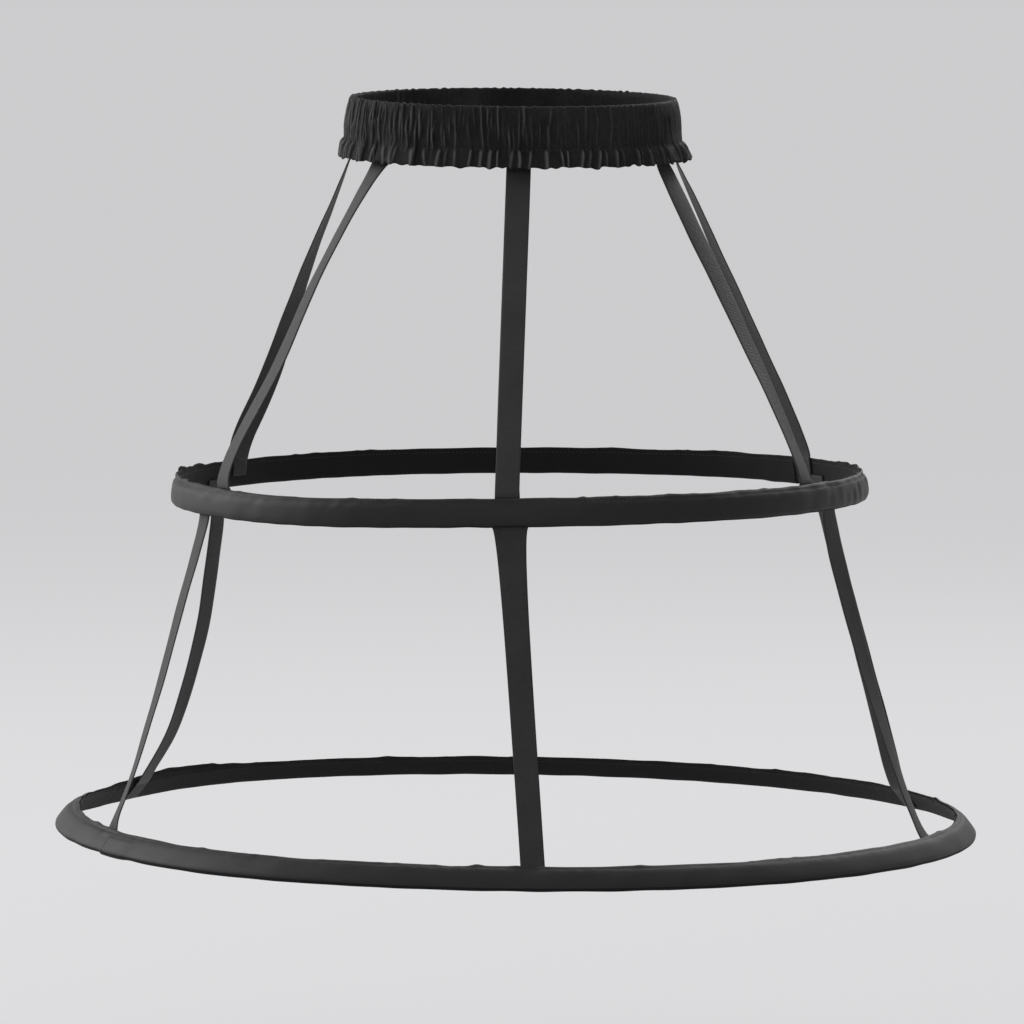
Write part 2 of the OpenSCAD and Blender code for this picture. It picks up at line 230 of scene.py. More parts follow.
def tipSideways(p, a):
    x, y, z = p[..., 0], p[..., 1], p[..., 2]
    return np.stack([x*np.cos(a) + z*np.sin(a), y, z*np.cos(a) - x*np.sin(a)], -1)


def apart(at, middle):
    return np.mod(at - middle + math.pi, 2*math.pi) - math.pi


def hump(gap, reach):
    return np.exp(-(gap/reach)**2)


def waistPoint(at, n, z):
    outX, outY = waist["depth"]*np.sin(at), -waist["width"]*np.cos(at)
    size = np.hypot(outX, outY)
    p = np.stack([waist["width"]/2*np.sin(at) + n*outX/size,
                  -waist["depth"]/2*np.cos(at) + n*outY/size, z + 0*at], -1)
    return tipSideways(tipForward(p, waist["dip"]), waist["slope"])


def hoopPoint(hoop, at, n, y):
    r = hoop["radius"] + n*np.cos(hoop["lean"]) - y*np.sin(hoop["lean"])
    z = n*np.sin(hoop["lean"]) + y*np.cos(hoop["lean"])
    for angle, reach, deep in hoop["dips"]:
        z = z - deep*hump(apart(at, math.radians(angle)), math.radians(reach))
    p = np.stack([r*np.sin(at), -r*np.cos(at), z + 0*at], -1)
    return tipSideways(p, hoop["slope"]) + np.array([hoop["shift"], 0, hoop["height"]])


def unit(v):
    return v/np.linalg.norm(v, axis=-1, keepdims=True)


# smooth unevenness round a ring, the same at its start and end
def wander(at, seed, low, high, rise=None, terms=10):
    draw = np.random.default_rng(seed)
    total = 0*at
    for k in range(terms):
        cycles, phase, lean = draw.integers(low, high + 1), draw.uniform(0, 2*math.pi), draw.normal()
        total = total + np.sin(cycles*at + phase + (0 if rise is None else rise*lean))
    return total*math.sqrt(2/terms)

# the same with its height, as a piece's settings give it: height, seed, fewest and most waves in a turn
def waves(at, kind, rise=None):
    high, *cycles = kind
    return high*wander(at, *cycles, rise)


# a section's key points drawn as one smooth line; the last column is how closely its rows lie
def sectionLine(keys, rows):
    keys = np.array(keys, float)
    padded = np.vstack([2*keys[0] - keys[1], keys, 2*keys[-1] - keys[-2]])
    fine = []
    for i in range(1, len(padded) - 2):
        a, b, c, d = padded[i - 1:i + 3]
        for t in np.linspace(0, 1, 24, endpoint=False):
            fine.append(0.5*(2*b + (c - a)*t + (2*a - 5*b + 4*c - d)*t*t + (3*b - a - 3*c + d)*t**3))
    fine = np.array(fine + [keys[-1]])
    steps = np.hypot(*np.diff(fine[:, :2], axis=0).T)
    dense = np.concatenate([[0], np.cumsum(steps*np.maximum(fine[1:, -1], 0.2))])
    share = np.linspace(0, dense[-1], rows + 1)
    line = np.stack([np.interp(share, dense, fine[:, k]) for k in range(keys.shape[1])], -1)
    gone = np.interp(share, dense, np.concatenate([[0], np.cumsum(steps)]))
    ahead = unit(np.stack([np.gradient(line[:, k], gone) for k in (0, 1)], -1))
    return line, ahead, gone


def clothGrid(name, along, across):
    bpy.ops.object.select_all(action="DESELECT")
    bpy.ops.mesh.primitive_grid_add(x_subdivisions=along, y_subdivisions=across, size=2)
    piece = bpy.context.object
    piece.name = piece.data.name = name
    return piece


# moves a flat grid's points to their places, marks its painted light and shade (and the wear on tape edges)
# and sizes its map
def shapeGrid(piece, place, long, wide):
    mesh = piece.data
    flat = np.empty(len(mesh.vertices)*3)
    mesh.vertices.foreach_get("co", flat)
    flat = flat.reshape(-1, 3)
    spots, ridge = place((flat[:, 0] + 1)/2, (flat[:, 1] + 1)/2)
    mesh.vertices.foreach_set("co", (spots*mm).ravel())
    mark = mesh.attributes.new("ridge", "FLOAT", "POINT")
    mark.data.foreach_set("value", np.clip(ridge + 0*flat[:, 0], -1, 1).astype(np.float32))
    layer = mesh.uv_layers[0]
    layer.name = "UVMap"
    uv = np.empty(len(layer.uv)*2, np.float32)
    layer.uv.foreach_get("vector", uv)
    layer.uv.foreach_set("vector", (uv.reshape(-1, 2)*(long*mm, wide*mm)).ravel().astype(np.float32))
    mesh.update()


def inEdit(piece, *steps):
    bpy.ops.object.select_all(action="DESELECT")
    piece.select_set(True)
    bpy.context.view_layer.objects.active = piece
    bpy.ops.object.mode_set(mode="EDIT")
    bpy.ops.mesh.select_all(action="SELECT")
    for step in steps:
        step()
    bpy.ops.object.mode_set(mode="OBJECT")


def closeRing():
    bpy.ops.mesh.remove_doubles(threshold=1e-6)


def turnFaces():
    bpy.ops.mesh.flip_normals()


def thicken(piece, thick, offset):
    bpy.context.view_layer.objects.active = piece
    wall = piece.modifiers.new("cloth", "SOLIDIFY")
    wall.thickness, wall.offset = thick*mm, offset
    wall.use_rim = True
    bpy.ops.object.modifier_apply(modifier=wall.name)


def finishPiece(piece, finish, slot, *nodes):
    piece.data.materials.clear()
    piece.data.materials.append(finishes[finish])
    bpy.ops.object.select_all(action="DESELECT")
    piece.select_set(True)
    bpy.context.view_layer.objects.active = piece
    bpy.ops.object.shade_smooth()
    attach(piece, "root")
    if nodes:
        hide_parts(*nodes)


# waistband: one strip folded over the elastic, drawn up in gathers, with a frill below the stitching
bandSet = {
    "columns": 1440, "rows": 32, "cloth": 0.5, "flatLength": 0.98, "stitch": -9.75, "frillTall": 13.5,
    "uneven": (0.68, 0.45, 1.1),              # gathers round the band: middle, swing, turn
    "knuckle": (0.75, 0.6, -13.0, 4.0),       # a pleat's height: least, more at its knuckle, where, reach
    "frillUneven": (0.55, 0.6), "pleatSink": 0.5,
    "flare": (3.6, 1.45, 0.7),                # the frill stands further out at one side: how far, where, reach
    "frillBillow": (0.55, 15, 14, 46), "bandBillow": (0.3, 16, 5, 24), "billowLean": 20,
    "sewnIn": (0.5, 1.3), "hemWaves": ((0.4, 18, 40, 110), (0.35, 19, 12, 40)), "hemTuck": 0.2,
    # the last entry is the painted highlight on gather crests and pleat knuckles: on the gathers, on the
    # frill, and its power
    "topWave": (0.22, 20, 60, 150), "topAt": (23, 3), "paintedHighlight": (0.6, 0.9, 1.3),
    "creases": {"count": 196, "seed": 11, "high": (0.4, 1.6), "wide": (0.5, 0.85), "lean": 0.05, "bow": 0.6,
                "from": (-30, 8), "to": (2, 34)},
    "nips": {"count": 230, "seed": 13, "high": (0.3, 1.1), "wide": (0.35, 0.6), "lean": 0.12, "bow": 0.5,
             "from": (-12, 18), "span": (3, 12)},
    "pleats": {"count": 96, "seed": 12, "high": (0.6, 2.0), "wide": (0.75, 1.35), "lean": 0.09, "bow": 0.35,
               "from": (-60, -60), "to": (-8, -3)},
    # out from the elastic's middle, height, crease share, pleat share, closeness of the rows
    "section": [(-2.5, -23.0, 0, 0.2, 0.4), (-2.3, -16.0, 0, 0.1, 0.4), (-2.1, -9.75, 0.1, 0, 0.4),
                (-2.5, -2.0, 0.25, 0, 0.4), (-2.9, 8.0, 0.3, 0, 0.4), (-3.5, 17.0, 0.3, 0, 0.5),
                (-3.3, 21.2, 0.3, 0, 1.2), (-2.0, 22.7, 0.25, 0, 1.6), (-0.4, 21.8, 0.5, 0, 1.5),
                (0.7, 18.5, 0.9, 0, 1.0), (2.1, 10.0, 1, 0, 0.9), (3.0, 2.0, 1, 0.05, 0.9),
                (3.5, -4.5, 0.9, 0.3, 1.0), (4.1, -8.2, 0.6, 0.6, 1.4), (4.6, -9.75, 0.45, 0.6, 1.6),
                (5.5, -11.4, 0.3, 0.9, 1.6), (7.0, -14.4, 0.15, 1.1, 1.4), (8.2, -18.4, 0, 1.1, 1.2),
                (8.9, -23.1, 0, 1.0, 1.2)],
}


# ridges that stand on the cloth, each with its own place, width, height and reach up or down the band
def ridgeField(at, z, kind):
    draw = np.random.default_rng(kind["seed"])
    total = 0*at
    for i in range(kind["count"]):
        middle = 2*math.pi*(i + draw.normal(0, 0.36))/kind["count"]
        wide, high = draw.uniform(*kind["wide"]), draw.uniform(*kind["high"])
        lean = draw.normal(0, kind["lean"])
        low, bow = draw.uniform(*kind["from"]), draw.normal(0, kind["bow"])
        top = low + draw.uniform(*kind["span"]) if "span" in kind else draw.uniform(*kind["to"])
        kept = 1/(1 + np.exp((low - z)/1.6))/(1 + np.exp((z - top)/1.6))
        arm = np.hypot(waist["width"]/2*math.cos(middle), waist["depth"]/2*math.sin(middle))
        gap = apart(at, middle)*arm - lean*z - bow*np.sin(z/4.5 + 2.3*i)
        near = np.abs(gap) < 4*wide
        total[near] += (high*kept*(hump(gap, wide) - 0.4*hump(gap - 1.9*wide, 1.1*wide)))[near]
    return total


def bandSurface(at, line, ahead):
    n, z, crease, pleat = (line[..., k] for k in range(4))
    outN, outZ = -ahead[..., 1], ahead[..., 0]
    middle, swing, turn = bandSet["uneven"]
    uneven = middle + swing*np.cos(at + turn)
    drawn = (ridgeField(at, z, bandSet["creases"]) + ridgeField(at, z, bandSet["nips"]))*uneven
    below = np.clip((bandSet["stitch"] - z)/bandSet["frillTall"], 0, 1)
    least, more, knuckleAt, reach = bandSet["knuckle"]
    knuckle = least + more*hump(z - knuckleAt, reach)
    plain, gathered = bandSet["frillUneven"]
    frilled = ridgeField(at, z, bandSet["pleats"])*knuckle*(plain + gathered*uneven)
    billow = (below*waves(at, bandSet["frillBillow"])
              + (1 - below)*waves(at, bandSet["bandBillow"], z/bandSet["billowLean"])*np.clip(n, 0, 1))
    deep, near = bandSet["sewnIn"]
    sewn = -deep*hump(z - bandSet["stitch"], near)*(n > 0)
    wide, flareAt, reach = bandSet["flare"]
    flare = wide*below*hump(apart(at, flareAt), reach)
    push = crease*drawn + pleat*(frilled - bandSet["pleatSink"]) + billow + sewn
    hem = sum(waves(at, kind) for kind in bandSet["hemWaves"]) - bandSet["hemTuck"]*frilled
    hemDip = below**2*hem*(pleat > 0.6)
    topAt, reach = bandSet["topAt"]
    topDip = waves(at, bandSet["topWave"])*hump(z - topAt, reach)
    # painted highlight: crests of the gathers and knuckles of the frill pleats painted paler, more so towards
    # the left front where the key lamp falls (uneven**1.5)
    gatherHighlight, frillHighlight, power = bandSet["paintedHighlight"]
    paleness = (gatherHighlight*crease*np.clip(drawn, 0, 2)**power
            + frillHighlight*pleat*np.clip(frilled, 0, 2.5)**power*below**0.3)
    ridge = np.clip(paleness*uneven**1.5, 0, 1)
    return waistPoint(at, n + push*outN + flare*(pleat > 0.25), z + push*outZ + hemDip + topDip), ridge


def makeWaistband():
    line, ahead, gone = sectionLine(bandSet["section"], bandSet["rows"])
    piece = clothGrid("waistband", bandSet["columns"], bandSet["rows"])

    def place(u, v):
        row = np.rint(v*bandSet["rows"]).astype(int)
        return bandSurface(2*math.pi*u, line[row], ahead[row])

    shapeGrid(piece, place, bandSet["flatLength"]*1000, gone[-1])
    inEdit(piece, closeRing, turnFaces)
    thicken(piece, bandSet["cloth"], -1)
    finishPiece(piece, "waistband", "waistband_cloth", "waistband_casing")
    gone[-1]*mm


# elastic: a knitted band that fills the channel and leans with it
elasticSet = {"columns": 528, "rows": 12, "thick": 1.5, "ripple": (0.1, 21, 60, 120), "rippleLean": 3,
              "lean": 1.3, "flatLength": 0.705}


def makeElastic():
    piece = clothGrid("waistElastic", elasticSet["columns"], elasticSet["rows"])
    tall = waist["elasticHigh"] - waist["elasticLow"]

    def place(u, v):
        at = 2*math.pi*u
        n = waves(at, elasticSet["ripple"], v*elasticSet["rippleLean"]) - elasticSet["lean"]*v
        return waistPoint(at, n, waist["elasticLow"] + v*tall), 0

    shapeGrid(piece, place, elasticSet["flatLength"]*1000, tall)
    inEdit(piece, closeRing)
    thicken(piece, elasticSet["thick"], 0)
    finishPiece(piece, "elastic", "elastic", "waist_elastic")


makeElastic()
makeWaistband()
print("waistband made")

# bones: a flat coated strip in each casing, its two ends held in a flat steel sleeve
boneSet = {"wide": 10.0, "thick": 1.2, "gap": 1.0, "round": 0.35, "columns": 240, "rows": 4,
           "jointAt": math.radians(-150), "sleeveLong": 44.0, "sleeveWide": 11.6, "sleeveThick": 2.8,
           "sleeveWall": 0.5, "sleeveCorner": 0.7, "sleeveColumns": 48, "sleeveRows": 36,
           "crimps": 3, "crimpDeep": 0.12}


def makeBone(tier, hoop):
    piece = clothGrid(f"{tier}HoopBone", boneSet["columns"], boneSet["rows"])
    half = boneSet["gap"]/2/hoop["radius"]

    def place(u, v):
        at = boneSet["jointAt"] + half + u*(2*math.pi - 2*half)
        return hoopPoint(hoop, at, 0*at, (v - 0.5)*boneSet["wide"]), 0

    shapeGrid(piece, place, 2*math.pi*hoop["radius"], boneSet["wide"])
    thicken(piece, boneSet["thick"], 0)
    edges = piece.modifiers.new("edges", "BEVEL")
    edges.width, edges.segments = boneSet["round"]*mm, 2
    bpy.ops.object.modifier_apply(modifier=edges.name)
    finishPiece(piece, "bone", "bone", f"{tier}_hoop_bone")


def makeJoiner(tier, hoop):
    high, deep, corner = boneSet["sleeveWide"]/2, boneSet["sleeveThick"]/2, boneSet["sleeveCorner"]
    section = [(0, -high), (deep - corner, -high), (deep, corner - high), (deep, 0), (deep, high - corner),
               (deep - corner, high), (corner - deep, high), (-deep, high - corner), (-deep, 0),
               (-deep, corner - high), (corner - deep, -high), (0, -high)]
    rows = boneSet["sleeveRows"]
    line, _, gone = sectionLine([(*spot, 1) for spot in section], rows)
    piece = clothGrid(f"{tier}HoopJoiner", boneSet["sleeveColumns"], rows)

    def place(u, v):
        row = np.rint(v*rows).astype(int)
        at = boneSet["jointAt"] + (u - 0.5)*boneSet["sleeveLong"]/hoop["radius"]
        pressed = boneSet["crimpDeep"]*np.sin(2*math.pi*boneSet["crimps"]*u)**2
        n = line[row, 0]*(1 - pressed*hump(line[row, 1], high/2))
        return hoopPoint(hoop, at, n, line[row, 1]), 0

    shapeGrid(piece, place, boneSet["sleeveLong"], gone[-1])
    inEdit(piece, closeRing)
    thicken(piece, boneSet["sleeveWall"], -1)
    finishPiece(piece, "joiner", "joiner", f"{tier}_hoop_joiner")


for tier, hoop in (("upper", upperHoop), ("lower", lowerHoop)):
    makeBone(tier, hoop)
    makeJoiner(tier, hoop)
print("bones and joiners made")

# hoop casings: a strip folded round the bone and sewn, its seam allowance standing on the inner top edge;
# a wave is its height, a number added to the hoop's seed, and the fewest and most waves in a turn
casingSet = {
    "rows": 40, "cloth": 0.55, "step": 2.45, "seamTip": 12.9, "seamBase": 8.9,
    "lap": 30.0, "lapGap": 6.0, "lapGrow": 0.8, "lapUnder": 0.45, "lapEase": 14.0,
    "lapFace": (5.6, 1.2), "lapBack": 0.4,
    # across the band from the bone's middle, height along it, closeness of the rows
    "section": [(-2.4, 12.9, 1), (-2.4, 10.6, 0.8), (-2.4, 8.0, 0.6), (-2.4, 4.0, 0.5), (-2.4, 0.0, 0.5),
                (-2.4, -4.0, 0.6), (-2.3, -6.4, 0.8), (-1.7, -8.1, 1), (-0.3, -8.8, 1), (1.3, -8.3, 1),
                (2.5, -6.9, 0.9), (3.0, -4.2, 0.7), (3.2, 0.0, 0.7), (3.1, 4.2, 0.7), (2.75, 6.6, 0.9),
                (2.2, 8.4, 1.4), (1.55, 9.9, 1.7), (0.85, 11.2, 1.6), (0.05, 12.25, 1.5), (-0.7, 12.9, 1.2)],
    "linedTo": -1.9, "frontFrom": -1.5, "innerShare": 0.2,
    "groove": (0.3, 1.25), "grooveAt": 9.5, "grooveWide": 1.1,
    "puckerLong": 12, "slack": (0.28, 3, 3, 16), "ripple": (0.1, 2, 20, 70), "seamDraw": 0.08,
    "tapePull": (0.6, 9.0, 8, 5.0),           # deep, wide, where up the band, reach
    "edgeWave": (0.18, 7, 6, 40), "edgeLow": 0.35, "edgeSway": (0.25, 4, 12, 60),
    "bumpWide": (1.6, 5.0), "bumpHigh": (1.5, 0.16), "bumpMost": 0.9, "bumpSide": 0.35,
    # along one hoop: where the seam allowance stands higher and how far out,
    # where the face is puckered, the bumps
    "upper": {"seed": 40, "bumps": 80, "ragged": 0.6,
              "stands": [(-101, 12, 1.6, 0.9), (-76, 10, 1.3, 0.3), (96, 14, 0.7, 0.3)],
              "puckers": [(80, 15, 0.5), (-96, 12, 0.2)]},
    "lower": {"seed": 60, "bumps": 60, "ragged": 0.2,
              "stands": [(-66, 5, 0.6, 0), (-88, 12, 4.2, -0.8), (-124, 13, 5.0, 2.4)],
              "puckers": [(-112, 12, 0.25)]},
}
tapeAt = {  # angles at the waist, above the upper hoop, below it and at the lower hoop
    "front": (2, -2, -1.5, 2), "front_left": (-53.5, -58, -64.5, -63.5),
    "back_left": (-88, -122, -113.5, -118), "back": (178, -178, -178, 178.5),
    "back_right": (89.5, 120, 116, 115.5), "front_right": (66, 55.5, 62.5, 65.5),
}
lapStart = {"upper": math.radians(123.297), "lower": math.radians(-60.996)}


def casingSurface(tier, hoop, at, line, ahead, grow):
    n, y = line[..., 0], line[..., 1]
    outN, outY = ahead[..., 1], -ahead[..., 0]
    here, r = casingSet[tier], hoop["radius"]
    seed, turns = here["seed"], int(2*math.pi*r/casingSet["puckerLong"])

    def uneven(kind, rise=None):
        high, nth, fewest, most = kind
        return waves(at, (high, seed + nth, fewest, most), rise)

    outer, front = np.clip(n + 1, 0, 4)/4, n > casingSet["frontFrom"]
    flange = np.clip((y - casingSet["seamBase"])/(casingSet["seamTip"] - casingSet["seamBase"]), 0, 1)
    slack = uneven(casingSet["slack"])*outer + uneven(casingSet["ripple"], y/7)
    drawn = np.clip((y - 3)/5, 0, 1)*uneven((casingSet["seamDraw"], 1, turns//2, turns), y/5)
    creased = 0*at
    for angle, reach, high in here["puckers"]:
        folds = np.clip(wander(at, seed + 6, turns//2, turns, y/9) + 0.2, -0.8, 2)
        creased += high*hump(apart(at, math.radians(angle)), math.radians(reach))*folds
    pullDeep, pullWide, pullAt, pullReach = casingSet["tapePull"]
    pulled = 0*at
    for places in tapeAt.values():
        for angle in (places[1:3] if tier == "upper" else places[3:]):
            pulled += hump(apart(at, math.radians(angle))*r, pullWide)*hump(y - pullAt, pullReach)
    faceTo, fade = casingSet["lapFace"]
    lapped = grow*np.where(n > -1, np.clip((faceTo - y)/fade, 0, 1), casingSet["lapBack"])
    moved = slack + drawn + creased*np.clip((y + 9)/6, 0, 1) - pullDeep*pulled
    push = np.where(n < -2.2, casingSet["innerShare"], 1)*(1 - flange)*moved + lapped
    tall, sway = uneven(casingSet["edgeWave"]) - casingSet["edgeLow"], uneven(casingSet["edgeSway"])
    draw = np.random.default_rng(seed)
    for bump in range(here["bumps"]):
        middle, wide = draw.uniform(0, 2*math.pi), draw.uniform(*casingSet["bumpWide"])
        high, side = draw.gamma(*casingSet["bumpHigh"]), draw.normal(0, casingSet["bumpSide"])
        near = hump(apart(at, middle)*r, wide)
        tall, sway = tall + min(high, casingSet["bumpMost"])*near, sway + side*near
    loose = 0*at
    for angle, reach, high, out in here["stands"]:
        near = hump(apart(at, math.radians(angle)), math.radians(reach))
        tall = tall + near*(high + uneven((here["ragged"], 8, turns//4, turns//2)))
        sway = sway + near*(out + uneven((here["ragged"], 9, turns//4, turns//2)))
        loose = loose + near
    shallow, deep = casingSet["groove"]
    groove = hump(y - casingSet["grooveAt"], casingSet["grooveWide"])*front
    sunk = (shallow + (deep - shallow)*np.clip(loose, 0, 1))*groove
    # painted light and shade: pucker folds painted paler and darker, the standing seam allowance and the
    # groove below it painted darker where shade falls
    ridge = 0.5*creased - 0.4*flange*front - 0.3*sunk
    return hoopPoint(hoop, at, n - sunk + push*outN + sway*flange**1.3, y + push*outY + tall*flange), ridge


def casingLength(hoop):
    return 2*math.pi*hoop["radius"] + casingSet["lap"] - casingSet["lapGap"]


# how far the cloth stands out or in where its widened end laps over its start
def lapGrowth(along, long):
    over = np.clip((casingSet["lap"] + casingSet["lapEase"] - along)/casingSet["lapEase"], 0, 1)
    under = np.clip((along - long + casingSet["lap"] + casingSet["lapEase"])/casingSet["lapEase"], 0, 1)
    return casingSet["lapGrow"]*over*over*(3 - 2*over) - casingSet["lapUnder"]*under*under*(3 - 2*under)


def makeCasing(tier, hoop):
    long = casingLength(hoop)
    columns = int(long/casingSet["step"])
    line, ahead, gone = sectionLine(casingSet["section"], casingSet["rows"])
    piece = clothGrid(f"{tier}HoopCasing", columns, casingSet["rows"])

    def place(u, v):
        row = np.rint(v*casingSet["rows"]).astype(int)
        at = lapStart[tier] + u*long/hoop["radius"]
        return casingSurface(tier, hoop, at, line[row], ahead[row], lapGrowth(u*long, long))

    shapeGrid(piece, place, long, gone[-1])
    thicken(piece, casingSet["cloth"], -1)
    finishPiece(piece, "casing", "casing_cloth", f"{tier}_hoop_casing")
    piece.data.materials.append(finishes["lining"])
    lined = gone[np.argmax(line[:, 0] > casingSet["linedTo"])]*mm
    sewnMap = piece.data.uv_layers["UVMap"].uv
    for face in piece.data.polygons:   # the hoop's inner side is the cloth's wrong side
        face.material_index = int(max(sewnMap[k].vector[1] for k in face.loop_indices) <= lined + 1e-6)
    gone[-1]*mm
    long*mm


makeCasing("upper", upperHoop)
makeCasing("lower", lowerHoop)
print("casings made")

# tapes: the sag in mm of the upper and lower one, then the turn in degrees, high and low on each
tapeSet = {
    "wide": 18.3, "thick": 0.85, "turnLength": 10.0, "flareWide": 26.8, "rows": 150, "columns": 12,
    "seat": -3.2, "slotSeat": -0.3, "tab": -10.05, "exit": -24.21, "seamTip": 12.9, "casingHalf": 8.7,
    # the last two numbers on the next line: real wear paling the tape edges, then painted shade on the tape's
    # sewn ends
    "endGap": 0.25, "ripples": ((0.16, 11), (0.1, 5.7)), "curl": (0.4, 38), "edgeWear": 0.06, "sewnPaintedShade": 0.3,
    "drape": {
        "front": ((-2, 5), (0, -2, -5, -5)), "front_left": ((-10.6, 2.7), (19.6, 4.5, 4, 15)),
        "back_left": ((-4, 19.4), (9, 47.6, 9, -1)), "back": ((-2, 5), (0, 0, 0, 0)),
        "back_right": ((-3.5, -2), (-13, -6, -6, -19)), "front_right": ((-4, 6), (10, -12, 14, -10)),
    },
    # waves of one tape's run: sideways in mm, where along it, reach
    "sways": {("lower", "back_left"): [(-5.6, 0.3, 0.16), (-2.4, 0.6, 0.16), (-15.4, 0.9, 0.12)],
              ("upper", "back_left"): [(-1.1, 0.25, 0.24), (11.4, 0.64, 0.2), (-12.7, 0.86, 0.15)],
              ("upper", "front_left"): [(1.1, 0.3, 0.16), (-8.7, 0.6, 0.16), (5.7, 0.86, 0.15)],
              ("lower", "front_left"): [(4.0, 0.3, 0.16), (1.6, 0.6, 0.16), (8.9, 0.9, 0.12)]},
}


def waistColumn(at, z, off):
    reach = np.hypot(waist["width"]/2*np.cos(at), waist["depth"]/2*np.sin(at))
    return waistPoint(at + off/reach, tapeSet["slotSeat"] + 0*off, z + 0*off)


def hoopColumn(hoop, at, y, off):
    return hoopPoint(hoop, at + off/hoop["radius"], tapeSet["seat"] + 0*off, y + 0*off)


def turned(v, axis, a):
    c, s = np.cos(a)[:, None], np.sin(a)[:, None]
    return v*c + np.cross(axis, v)*s + axis*(v @ axis)[:, None]*(1 - c)


def tapeRun(t, off, head, headDown, tail, tailDown, sag, turn, flare):
    long = tapeSet["turnLength"]
    t1 = t[:, None]

    def bend(offset):
        a, d = head(offset), tail(offset)
        return ((1 - t1)**3*a + 3*t1*(1 - t1)**2*(a + long*headDown)
                + 3*t1*t1*(1 - t1)*(d - long*tailDown) + t1**3*d)

    middle = bend(0*off)
    ends = head(np.zeros(1))[0], tail(np.zeros(1))[0]
    inward = -unit(((ends[0] + ends[1])/2)*np.array([1, 1, 0]))
    axis = unit(ends[1] - ends[0])
    side = turned(bend(off) - middle, axis, np.radians(turn))*flare[:, None]
    return middle + side + (sag*np.sin(math.pi*t))[:, None]*inward


def tapePlace(tier, name, seed):
    at = np.radians(tapeAt[name])
    sags, turns = tapeSet["drape"][name]
    half = tapeSet["wide"]/2
    upper = tier == "upper"
    downWaist = (waistPoint(np.zeros(1), np.zeros(1), -np.ones(1)) - waistPoint(*[np.zeros(1)]*3))[0]

    def downHoop(hoop, a):
        a = np.array([a])
        return (hoopPoint(hoop, a, 0*a, 0*a - 1) - hoopPoint(hoop, a, 0*a, 0*a))[0]

    if upper:
        first = lambda off: waistColumn(at[0], tapeSet["tab"], off)
        head = lambda off: waistColumn(at[0], tapeSet["exit"], off)
        tail = lambda off: hoopColumn(upperHoop, at[1], tapeSet["seamTip"], off)
        last = lambda off: hoopColumn(upperHoop, at[1], tapeSet["endGap"], off)
        downs = downWaist, downHoop(upperHoop, at[1])
        sag, high, low = sags[0], turns[0], turns[1]
    else:
        first = lambda off: hoopColumn(upperHoop, at[2], -tapeSet["endGap"], off)
        head = lambda off: hoopColumn(upperHoop, at[2], -tapeSet["casingHalf"], off)
        tail = lambda off: hoopColumn(lowerHoop, at[3], tapeSet["seamTip"], off)
        last = lambda off: hoopColumn(lowerHoop, at[3], -tapeSet["casingHalf"]/2, off)
        downs = downHoop(upperHoop, at[2]), downHoop(lowerHoop, at[3])
        sag, high, low = sags[1], turns[2], turns[3]
    flareTo = tapeSet["flareWide"]/tapeSet["wide"] if (tier, name) == ("lower", "front") else 1
    zero = np.zeros(1)
    headLong = np.linalg.norm(head(zero) - first(zero))
    tailLong = np.linalg.norm(last(zero) - tail(zero))
    runLong = np.linalg.norm(tail(zero) - head(zero))
    wholeLong = headLong + runLong + tailLong
    along = unit((tail(zero) - head(zero))[0])

    (high1, long1), (high2, long2) = tapeSet["ripples"]
    curlHigh, curlLong = tapeSet["curl"]

    def place(u, v):
        off = (2*v - 1)*half
        gone = u*wholeLong
        t = np.clip((gone - headLong)/runLong, 0, 1)
        turn = high*np.sin(math.pi*(1 - (1 - t)**2)) + low*np.sin(math.pi*t**3)
        flare = 1 + (flareTo - 1)*(1 - t)**5
        p = tapeRun(t, off, head, downs[0], tail, downs[1], sag, turn, flare)
        early = np.clip(gone/headLong, 0, 1)[:, None]
        late = np.clip((wholeLong - gone)/tailLong, 0, 1)[:, None]
        p = np.where(early < 1, first(off*flareTo)*(1 - early) + head(off*flareTo)*early, p)
        p = np.where(late < 1, last(off)*(1 - late) + tail(off)*late, p)
        outward = unit(p*np.array([1, 1, 0]))
        sideways = unit(np.cross(along, outward))
        loose = np.sin(math.pi*t)**0.6
        ripple = high1*np.sin(gone/long1 + seed) + high2*np.sin(gone/long2 + 2.1*seed + 2*v)
        curl = curlHigh*(2*v - 1)**2*np.sin(gone/curlLong + seed)
        p = p + (loose*(ripple + curl))[:, None]*outward
        for wide, where, reach in tapeSet["sways"].get((tier, name), []):
            p = p + (wide*loose*hump(t - where, reach))[:, None]*sideways
        # colour mark: tape edges a little paler with wear; the sewn ends, which lie on the hoops' inner faces
        # and under the frill, painted darker as shade
        sewn = np.clip(1 - gone/headLong, 0, 1) + np.clip(1 - (wholeLong - gone)/tailLong, 0, 1)
        edge = np.clip(np.abs(2*v - 1)*6 - 5, 0, 1)
        return p, tapeSet["edgeWear"]*edge - tapeSet["sewnPaintedShade"]*np.clip(4*sewn, 0, 1)

    return place, wholeLong, headLong, tailLong


tapeRuns = {}
for tier, above, below, seedFrom in (("upper", "waistband", "upperHoopCasing", 0),
                                     ("lower", "upperHoopCasing", "lowerHoopCasing", 9.1)):
    for count, name in enumerate(tapeAt):
        place, wholeLong, *sewnLengths = tapePlace(tier, name, 1.7*count + seedFrom)
        tapeRuns[tier, name] = place, wholeLong, *sewnLengths
        piece = clothGrid(f"{tier}Tape_{name}", tapeSet["rows"], tapeSet["columns"])
        shapeGrid(piece, place, wholeLong, tapeSet["wide"])
        thicken(piece, tapeSet["thick"], 0)
        finishPiece(piece, "tape", "tape", f"{tier}_tape_{name}")
        wholeLong*mm
print("tapes made:", len(tapeRuns))

